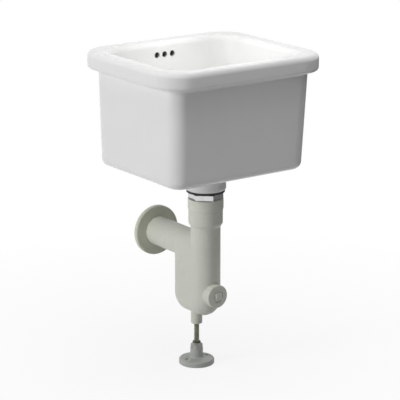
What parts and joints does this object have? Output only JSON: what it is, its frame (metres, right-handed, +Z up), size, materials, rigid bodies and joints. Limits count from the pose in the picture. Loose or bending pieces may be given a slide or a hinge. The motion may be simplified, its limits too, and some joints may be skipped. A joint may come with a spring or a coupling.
{
  "type": "laundry sink",
  "caption": "Wall-hung deep ceramic laundry sink with a rolled rim, overflow, drain with stopper, and a cast trap with cleanout on an adjustable floor foot.",
  "frame": {"origin": "on the floor, below the middle of the basin's rim and of the whole object", "axes": "+X along the long side of the rim to the right of someone who stands before the sink, +Y towards the wall, +Z up"},
  "size_m": [0.45, 0.4, 0.775],
  "materials": {
    "white_glaze": "glossy fired glaze",
    "trap_paint": "satin grey-green paint on cast iron",
    "chrome_plate": "bright chrome plate",
    "black_rubber": "matt black rubber",
    "stopper_rubber": "smooth dark rubber",
    "pale_rubber": "matt pale rubber",
    "stainless": "brushed stainless steel",
    "galvanised": "dull zinc plate",
    "dark_zinc": "dark olive zinc plate",
    "nut_plate": "pale zinc plate"
  },
  "bodies": {
    "sink": {"basin": "white_glaze", "hanger_left": "galvanised", "hanger_right": "galvanised", "hanger_pads": "black_rubber", "drain_flange": "chrome_plate", "drain_flange_seal": "pale_rubber", "drain_strainer": "stainless", "strainer_screw": "stainless", "outlet_gasket": "black_rubber", "friction_washer": "stainless", "drain_lock_nut": "chrome_plate", "inlet_union_nut": "trap_paint", "inlet_slip_ring": "stainless", "inlet_packing": "pale_rubber", "trap_body": "trap_paint"},
    "stopper": {"rubber_stopper": "stopper_rubber", "stopper_knob": "chrome_plate"},
    "cleanout_seal": {"cleanout_gasket": "black_rubber"},
    "cleanout_cap": {"cleanout_plug": "trap_paint"},
    "wall_cover": {"wall_flange": "trap_paint", "flange_ring": "black_rubber"},
    "foot": {"foot_flange": "trap_paint"},
    "stud": {"foot_stud": "dark_zinc"},
    "stud_ring": {"foot_ring": "black_rubber"},
    "lock_nut": {"foot_lock_nut": "nut_plate"}
  },
  "joints": [
    {"name": "stopper_lift", "type": "slide", "parent": "sink", "child": "stopper", "axis": [0, 0, 1], "range_m": [0, 0.3]},
    {"name": "cleanout_travel", "type": "slide", "parent": "sink", "child": "cleanout_seal", "axis": [0, -1, 0], "range_m": [0, 0.0139]},
    {"name": "cleanout_turn", "type": "hinge", "parent": "cleanout_seal", "child": "cleanout_cap", "pos_m": [0, -0.06, 0.191], "axis": [0, -1, 0], "range_deg": [0, 2160]},
    {"name": "cover_slide", "type": "slide", "parent": "sink", "child": "wall_cover", "axis": [0, -1, 0], "range_m": [0, 0.06]},
    {"name": "foot_travel", "type": "slide", "parent": "sink", "child": "foot", "axis": [0, 0, 1], "range_m": [-0.006, 0.01]},
    {"name": "foot_turn", "type": "hinge", "parent": "foot", "child": "stud", "pos_m": [0, 0.025, 0.06], "axis": [0, 0, 1], "range_deg": [-1021, 1701]},
    {"name": "nut_travel", "type": "slide", "parent": "stud", "child": "stud_ring", "axis": [0, 0, 1], "range_m": [0, 0.03]},
    {"name": "nut_turn", "type": "hinge", "parent": "stud_ring", "child": "lock_nut", "pos_m": [0, 0.025, 0.046], "axis": [0, 0, 1], "range_deg": [0, 5102]}
  ],
  "couplings": [
    {"joint": "cleanout_travel", "follows": "cleanout_turn", "m_per_rad": 0.00036749},
    {"joint": "foot_turn", "follows": "foot_travel", "rad_per_m": 2968},
    {"joint": "nut_turn", "follows": "nut_travel", "rad_per_m": 2968}
  ]
}
